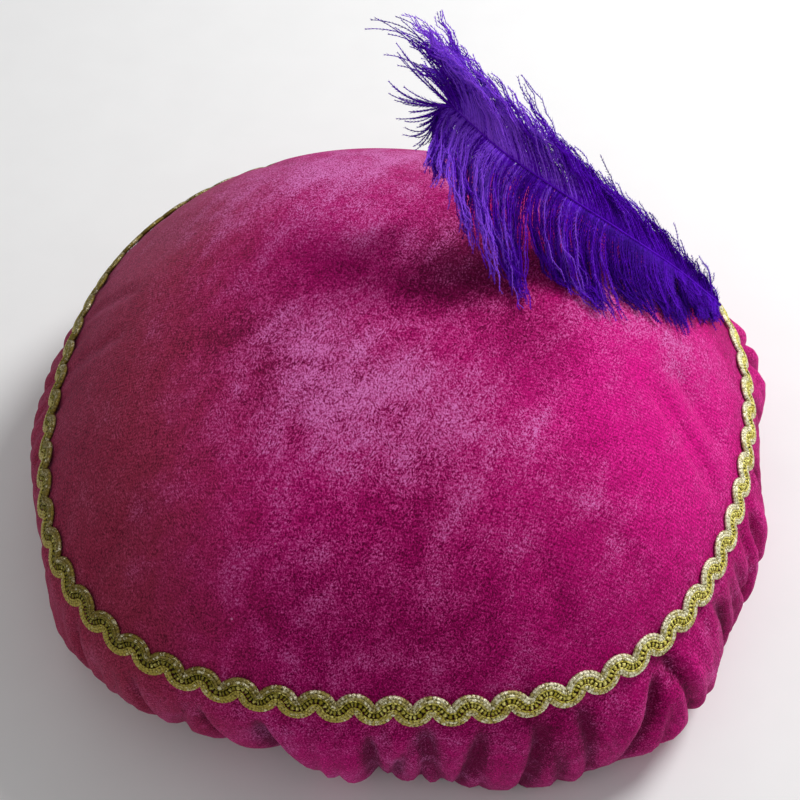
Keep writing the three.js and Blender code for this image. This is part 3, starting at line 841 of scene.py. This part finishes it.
# long wisps beyond the tip: share along the shaft where they start, then right and up in mm from
# the shaft's top to the point that they bend towards, and to their end
WISPS = [
    (0.64, -1, 31, -27, 30), (0.66, -3, 27, -26, 27), (0.68, -6, 23, -22, 31), (0.72, -8, 17, -23, 16),
    (0.74, -10, 9, -18, 19), (0.75, -13, 0, -21, 9), (0.76, -12, -1, -20, 4), (0.78, -10, -3, -21, -1),
    (0.8, -8, -6, -17, -4), (0.83, -8, -9, -15, -8), (0.86, -8, -13, -15, -10), (0.89, -8, -16, -14, -16),
]
WISP_STRANDS = 4
WISP_SPREAD = 1.9  # mm between the ends of a wisp's strands
WISP_BEND_SPREAD = 0.6  # the same at the bend, as a share of it
WISP_STARTS = 0.06  # share of the shaft over which a wisp's strands start
WISP_REACH = (0.6, 1.05)  # shares of the way to its end, least and most
WISP_TONES = (0.2, 0.7)
TOP_SHARE = 0.74
RIGHT = np.array([1, 0, 0])
UP = np.array([0, 0.777, 0.629])  # square to the line of sight

UPPER_COUNT = 620
LOWER_COUNT = 780
BARB_STEPS = 14
BARB_SHARES = np.linspace(0, 1, BARB_STEPS)
BARB_RADIUS = 0.27
BARB_TAPER = 0.5
STRAND_SIDES = 3
STRAND_UP = np.array([0.3, 0.5, 0.8])  # a direction that no strand runs along
SHAFT_REACH = 0.012  # share to both sides that gives the shaft's direction at a barb
FACE_TURN = (0.1, 0.45)  # where along the shaft its face turns
LOCKS = 25  # pointed locks that the barbs' ends gather in, in each layer of a side
LAYERS = 2
ALL_LOCKS = LAYERS * (LOCKS + 1)
LOCK_WAVE = (0.3, 90)  # how uneven the locks' widths are, and radians along the shaft
LOCK_PULL = 0.78  # share of the way to the middle line of its lock that a barb's end goes
LOCK_CURVE = 1.7
LENGTH_KEPT = 0.7  # share of the barbs' differences in length that stays in a lock
BARB_LENGTHS = (0.62, 1.1)  # shares of the table's length, least and most
LOCK_LENGTHS = (0.76, 1.16)
BARB_TURN = 4  # degrees that a barb turns by chance
LOCK_TURN = 8
BARB_LOFT = 2.6  # mm that a barb's end stands off the vane by chance
LOCK_LOFT = 2.8
LOFT_CURVE = 1.3
RIPPLE = 0.9  # mm of the waves that neighbours share
RIPPLE_PACE = 0.55  # radians for each mm along a barb
RIPPLE_SHIFT = 40  # radians along the shaft
OWN_WAVE = 1.3  # mm of a barb's own waves
OWN_PACE = (4, 9)  # radians along a barb, least and most
BARB_CLEARANCE = 0.9  # mm that a barb lies over the crown, at least
CROWN_LOFT = 2.5  # mm by which the ends of barbs on the crown lie over each other

# how light the barbs are, from 0 to 1
TONE = 0.7
SIDE_TONE = 0.1  # by how much the upper vane is lighter, and the lower darker
LOFT_TONE = 0.06  # for each mm off the vane
ROOT_TONE = 0.5  # by how much the root is darker
ROOT_FADE = (0.15, 0.55)  # where along the shaft this fades
LOCK_TONES = 0.14
BARB_TONES = 0.24
DOWN_FADE = (0.15, 0.45)  # where along the shaft the down of the root fades
DOWN_SHADE = 0.5

BARBULE_GAP = 1.3  # distance between the barbules of one row along a barb
FIRST_BARBULE = 0.8  # least distance of the first from the barb's root
FIRST_RANGE = 0.6
BARBULE_END = 0.2  # distance from the barb's end without barbules
BARBULE_LENGTH = 2.9
BARBULE_LENGTHS = (0.6, 1.1)  # least and most, as shares of it
BARBULE_TAPER = 0.55  # share of it that is lost towards the barb's end
BARBULE_WIDTH = 0.15
BARBULE_LEAN = (0.18, 0.6)  # least and most that a barbule leans away from its barb
BARBULE_FAN = 0.6  # most that it leans out of the vane
BARBULE_CLEARANCE = 0.5  # mm that its end lies over the crown, at least
VANE_UP = np.array([0.2, -0.55, 0.8])  # about where the face of the vanes looks
WEDGE_TILT = 0.1  # gives a wedge its width even where it points straight out of the vane
DOWN_LEAN = 0.9  # by how much more they lean in the down at the plume's root
WEDGE_FACES = ((0, 1, 3), (1, 2, 3), (2, 0, 3), (0, 2, 1))
WEDGE_POINTS = 4


def plume_at(share):
    """Points and radius of the shaft at shares of the way along it."""
    last = len(PLUME_SHAFT) - 1
    place = np.clip(share, 0, NEAR_END) * last
    k = place.astype(int)
    t = (place - k)[:, None]
    a, b, c, d = (PLUME_SHAFT[np.clip(k + step, 0, last)] for step in (-1, 0, 1, 2))
    row = 0.5 * (2 * b + (c - a) * t + (2 * a - 5 * b + 4 * c - d) * t**2 + (3 * b - a - 3 * c + d) * t**3)
    return row[:, :3], row[:, 3]


def height_over_crown(x, y, clearance):
    share = np.minimum(1, np.hypot(x, y) / ring_radius(np.arctan2(y, x)))
    return crown_height(share) + clearance * np.hypot(1, crown_slope(share))


def barb_roots(share, sign):
    """Where barbs leave the shaft, the way ahead along it, and the face and the side there."""
    root = plume_at(share)[0]
    ahead = unit(plume_at(share + SHAFT_REACH)[0] - plume_at(share - SHAFT_REACH)[0])
    tipward = smoothstep(share, *FACE_TURN)[:, None]
    face = unit(ROOT_FACE * (1 - tipward) + TIP_FACE * tipward)
    return root, ahead, face, sign * unit(np.cross(ahead, face))


def lock_numbers(share):
    """The lock that every barb belongs to, in one of the layers."""
    layer = random.integers(0, LAYERS, len(share))
    uneven, pace = LOCK_WAVE
    lock = (share * LOCKS + layer / LAYERS + uneven * np.sin(share * pace)).astype(int).clip(0, LOCKS)
    return lock + layer * (LOCKS + 1)


def bent_barbs(table, bend, share, lock, ahead, side):
    """Lines of points along barbs from the shaft, the way their ends point, and their lengths."""
    count = len(share)
    length, first, last = (np.interp(share, table[:, 0], table[:, n]) for n in (1, 2, 3))
    length = length * random.uniform(*BARB_LENGTHS, count) * random.uniform(*LOCK_LENGTHS, ALL_LOCKS)[lock]
    turn = (random.normal(0, LOCK_TURN, ALL_LOCKS)[lock] + random.normal(0, BARB_TURN, count))[:, None]
    bent = 1 - (1 - BARB_SHARES) ** bend
    angle = np.radians(first[:, None] + (last - first)[:, None] * bent + turn * BARB_SHARES)
    way = np.cos(angle)[..., None] * ahead[:, None] + np.sin(angle)[..., None] * side[:, None]
    path = np.cumsum(way, 1) - 0.5 * way - 0.5 * way[:, :1]
    return path * length[:, None, None] / BARB_STEPS, way[:, -1], length


def gathered_in_locks(path, lock, way):
    """Draws the ends of the barbs of a lock together, so that it is pointed."""
    members = np.maximum(np.bincount(lock, minlength=ALL_LOCKS), 1)
    middle = np.stack([np.bincount(lock, path[:, -1, n], ALL_LOCKS) / members for n in range(3)], 1)
    pull = middle[lock] - path[:, -1]
    pull = pull - LENGTH_KEPT * np.sum(pull * way, 1, keepdims=True) * way
    return path + LOCK_PULL * (BARB_SHARES**LOCK_CURVE)[None, :, None] * pull[:, None]


def waver(path, length, share, side):
    """Small waves along the barbs, some shared by their neighbours and some of their own."""
    ripple = np.sin(length[:, None] * BARB_SHARES * RIPPLE_PACE + RIPPLE_SHIFT * share[:, None])
    count = len(path)
    pace, phase = random.uniform(*OWN_PACE, (count, 1, 1)), random.uniform(0, TURN, (count, 1, 3))
    own = np.sin(BARB_SHARES[None, :, None] * pace + phase)
    shared = RIPPLE * (BARB_SHARES * ripple)[..., None] * side[:, None]
    return path + shared + OWN_WAVE * BARB_SHARES[None, :, None] * own


def laid_over_crown(path):
    """Lifts the barbs that would go into the crown to lie on it, loosely over each other."""
    floor = height_over_crown(path[..., 0], path[..., 1], BARB_CLEARANCE)
    loose = random.uniform(0, CROWN_LOFT, (len(path), 1)) * BARB_SHARES
    path[..., 2] = np.maximum(path[..., 2], floor + loose)
    return path


def barb_tones(share, lock, off_vane, sign):
    """How light each barb is, and how downy."""
    lie = LOFT_TONE * off_vane + ROOT_TONE * smoothstep(share, *ROOT_FADE) - ROOT_TONE
    tone = TONE + SIDE_TONE * sign + lie
    tone = tone + random.normal(0, LOCK_TONES, ALL_LOCKS)[lock] + random.normal(0, BARB_TONES, len(share))
    down = 1 - smoothstep(share, *DOWN_FADE)
    return np.clip(tone, 0, 1) * (1 - DOWN_SHADE * down), down


def barb_paths(table, spread, bend, sign, count):
    """Lines of points of all the barbs on one side of the shaft, how light each barb is, and how downy."""
    even = (np.arange(count) + random.uniform(0, 1, count)) / count
    share = np.interp(even, *spread.T)
    root, ahead, face, side = barb_roots(share, sign)
    lock = lock_numbers(share)
    path, way, length = bent_barbs(table, bend, share, lock, ahead, side)
    path = gathered_in_locks(root[:, None] + path, lock, way)
    off_vane = random.normal(0, BARB_LOFT, count) + random.normal(0, LOCK_LOFT, ALL_LOCKS)[lock]
    path = path + (BARB_SHARES**LOFT_CURVE)[None, :, None] * (off_vane[:, None] * face)[:, None]
    path = laid_over_crown(waver(path, length, share, side))
    return path, *barb_tones(share, lock, off_vane, sign)


def wisp_paths():
    """Lines of points of the strands of the long wisps beyond the plume's tip, how light and how downy."""
    share, bend_right, bend_up, end_right, end_up = np.repeat(np.array(WISPS), WISP_STRANDS, 0).T
    count = len(share)
    top = plume_at(np.array([TOP_SHARE]))[0]
    loose = random.normal(0, WISP_SPREAD, (count, 3))
    start = plume_at(share - random.uniform(0, WISP_STARTS, count))[0]
    bend = top + bend_right[:, None] * RIGHT + bend_up[:, None] * UP + WISP_BEND_SPREAD * loose
    end = top + end_right[:, None] * RIGHT + end_up[:, None] * UP + loose
    t = BARB_SHARES[None, :, None] * random.uniform(*WISP_REACH, count)[:, None, None]
    path = (1 - t) ** 2 * start[:, None] + 2 * t * (1 - t) * bend[:, None] + t**2 * end[:, None]
    return path, random.uniform(*WISP_TONES, count), np.zeros(count)


def strands(paths, width, taper):
    """Three-sided strands along lines of points, all in one mesh."""
    count, steps = paths.shape[:2]
    sides = STRAND_SIDES
    ahead = unit(np.gradient(paths, axis=1))
    side = unit(np.cross(ahead, STRAND_UP))
    up = np.cross(side, ahead)
    size = width * (1 - taper * np.linspace(0, 1, steps))[None, :, None, None]
    angle = bearings(sides)
    ring = np.cos(angle)[:, None] * side[:, :, None] + np.sin(angle)[:, None] * up[:, :, None]
    points = (paths[:, :, None] + size * ring).reshape(-1, 3)
    b, k, s = np.meshgrid(np.arange(count), np.arange(steps - 1), np.arange(sides), indexing="ij")
    here, beside = (b * steps + k) * sides + s, (b * steps + k) * sides + (s + 1) % sides
    quads = np.stack([here, beside, beside + sides, here + sides], -1).reshape(-1, 4)
    start = np.arange(count) * steps * sides
    end = start + (steps - 1) * sides
    caps = [np.stack([start, start + 2, start + 1], 1), np.stack([end, end + 1, end + 2], 1)]
    return points, [quads], caps


def barbule_roots(paths):
    """Points along every barb, the barb's direction there, how far along it they are, and its number."""
    bases, aheads, shares, numbers = [], [], [], []
    for number, path in enumerate(paths):
        run = np.concatenate([[0], np.cumsum(np.linalg.norm(np.diff(path, axis=0), axis=1))])
        first = FIRST_BARBULE + random.uniform(0, FIRST_RANGE)
        at = np.arange(first, run[-1] - BARBULE_END, BARBULE_GAP)
        base = np.stack([np.interp(at, run, path[:, n]) for n in range(3)], 1)
        ahead = np.stack([np.interp(at, run, np.gradient(path[:, n])) for n in range(3)], 1)
        bases.append(base)
        aheads.append(unit(ahead))
        shares.append(at / run[-1])
        numbers.append(np.full(len(at), number))
    return [np.concatenate(part) for part in (bases, aheads, shares, numbers)]


def barbules(name, paths, tone, down):
    """Fine spikes in two rows along every barb, each a thin closed wedge."""
    base, ahead, share, number = (np.repeat(part, 2, 0) for part in barbule_roots(paths))
    n = len(base)
    side = unit(np.cross(ahead, VANE_UP))
    up = np.cross(side, ahead)
    sign = np.tile([1.0, -1.0], n // 2)[:, None]
    fan = random.uniform(-BARBULE_FAN, BARBULE_FAN, (n, 1))
    lean = random.uniform(*BARBULE_LEAN, (n, 1)) * (1 + DOWN_LEAN * down[number][:, None])
    out = unit(ahead + sign * (side + fan * up) * lean)
    size = BARBULE_LENGTH * (1 - BARBULE_TAPER * share[:, None]) * random.uniform(*BARBULE_LENGTHS, (n, 1))
    tip = base + out * size
    tip[:, 2] = np.maximum(tip[:, 2], height_over_crown(tip[:, 0], tip[:, 1], BARBULE_CLEARANCE))
    across = BARBULE_WIDTH * unit(np.cross(out, up + WEDGE_TILT * side))
    third = np.cross(out, across)
    points = np.stack([base + across, base - across, base + third, tip], 1).reshape(-1, 3)
    i = np.arange(n) * WEDGE_POINTS
    tris = [np.stack([i + a, i + b, i + c], 1) for a, b, c in WEDGE_FACES]
    made = mesh_object(name, points, [], tris, smooth=False)
    attribute(made, "tone", np.repeat(tone[number], WEDGE_POINTS))
    return made


PLUME_DARK = colour(58, 0, 136)
PLUME_BODY = colour(92, 8, 192)
PLUME_LIGHT = colour(146, 78, 238)
LOCK_BLOTCHES = (110, 3, 0.6)  # scale, detail and roughness
FINE_BLOTCHES = (800, 2, 0.6)


def plume_material():
    g = Graph("plume")
    broad = g.noise(g.place(), *LOCK_BLOTCHES)
    fine = g.noise(g.place(), *FINE_BLOTCHES)
    tone = g.add(g.value("tone"), (g.centred(broad), 0.6), (g.centred(fine), 0.8))
    base = g.mix(g.span(tone, 0.0, 0.5), PLUME_DARK, PLUME_BODY)
    base = g.mix(g.span(tone, 0.5, 1.0), base, PLUME_LIGHT)
    g.set(Base_Color=base, Roughness=0.6, Specular_IOR_Level=0.05)
    return g.material


def plume_shaft():
    centre, radius = plume_at(np.linspace(0, 1, SHAFT_STEPS))
    points, quads = tube(centre, radius * SHAFT_SHARE, SHAFT_SIDES, False)
    rim = np.arange(SHAFT_SIDES)
    ends = [rim[None, ::-1], (len(points) - SHAFT_SIDES + rim)[None]]
    shaft = mesh_object("plume_shaft", points, [quads], ends)
    attribute(shaft, "tone", np.full(len(points), SHAFT_TONE))
    return shaft


def plume_barbs(paths, tone):
    made = mesh_object("plume_barbs", *strands(paths, BARB_RADIUS, BARB_TAPER))
    attribute(made, "tone", np.repeat(tone, BARB_STEPS * STRAND_SIDES))
    return made


def ostrich_plume():
    upper = barb_paths(UPPER_BARBS, UPPER_SPREAD, UPPER_BEND, 1, UPPER_COUNT)
    upper = [np.concatenate(parts) for parts in zip(upper, wisp_paths())]
    lower = barb_paths(LOWER_BARBS, LOWER_SPREAD, LOWER_BEND, -1, LOWER_COUNT)
    pieces = [
        plume_barbs(np.concatenate([upper[0], lower[0]]), np.concatenate([upper[1], lower[1]])),
        barbules("plume_upper_barbules", *upper),
        barbules("plume_lower_barbules", *lower),
        plume_shaft(),
    ]
    violet = plume_material()
    for piece in pieces:
        piece.data.materials.append(violet)
    return pieces


# Making of the pieces

cap = velvet_cap()
gimp_edges, gimp_cords = gimp_braid()
plume = ostrich_plume()

for pieces, slot in (([cap], "velvet"), ([gimp_edges, gimp_cords], "gimp"), (plume, "plume")):
    for piece in pieces:
        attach(piece, "root")
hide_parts("velvet_cap")
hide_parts("gimp_braid")
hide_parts("ostrich_plume")


# Floor, light and camera

FLOOR_REACH = 15000  # mm
FLOOR_DARK = (0.87, 0.87, 0.87, 1)
FLOOR_LIGHT = (0.91, 0.91, 0.91, 1)
FLOOR_BLOTCHES = (40, 2)
WHITE = (1, 1, 1, 1)
WORLD_LIGHT = 0.38

# name, place and target in metres, width in metres, watts
LAMPS = [
    ("key", (0.75, 0.55, 0.95), (0, 0, 0.08), 0.5, 14.0),
    ("fill", (-0.6, -0.9, 1.1), (0, 0, 0.05), 1.4, 1.0),
]

corners = [(-FLOOR_REACH, -FLOOR_REACH, 0), (FLOOR_REACH, -FLOOR_REACH, 0),
           (FLOOR_REACH, FLOOR_REACH, 0), (-FLOOR_REACH, FLOOR_REACH, 0)]
floor = mesh_object("floor", np.array(corners), [np.array([[0, 1, 2, 3]])])
paper = Graph("paper")
blotches = paper.noise(paper.place(), *FLOOR_BLOTCHES)
paper.set(Base_Color=paper.mix(blotches, FLOOR_DARK, FLOOR_LIGHT), Roughness=0.9)
floor.data.materials.append(paper.material)


def area_light(name, place, target, size, power):
    data = bpy.data.lights.new(name, "AREA")
    data.shape = "DISK"
    data.size = size
    data.energy = power
    lamp = bpy.data.objects.new(name, data)
    bpy.context.scene.collection.objects.link(lamp)
    lamp.location = place
    lamp.rotation_euler = (Vector(target) - Vector(place)).to_track_quat("-Z", "Y").to_euler()


for lamp in LAMPS:
    area_light(*lamp)
world = bpy.data.worlds.new("studio")
world.use_nodes = True
sky = world.node_tree.nodes["Background"]
sky.inputs["Color"].default_value = WHITE
sky.inputs["Strength"].default_value = WORLD_LIGHT
bpy.context.scene.world = world
bpy.context.scene.view_settings.view_transform = "Standard"

VIEW_ELEVATION = math.radians(51)
VIEW_DISTANCE = 0.6
LENS = 68
SENSOR = 36
AIM = np.array([-0.00104, -0.00374, 0.05972])
camera = bpy.data.objects.new("camera", bpy.data.cameras.new("camera"))
camera.data.lens = LENS
camera.data.sensor_width = SENSOR
camera.location = AIM + VIEW_DISTANCE * np.array([0, -math.cos(VIEW_ELEVATION), math.sin(VIEW_ELEVATION)])
camera.rotation_euler = (math.pi / 2 - VIEW_ELEVATION, 0, 0)
bpy.context.scene.collection.objects.link(camera)
bpy.context.scene.camera = camera
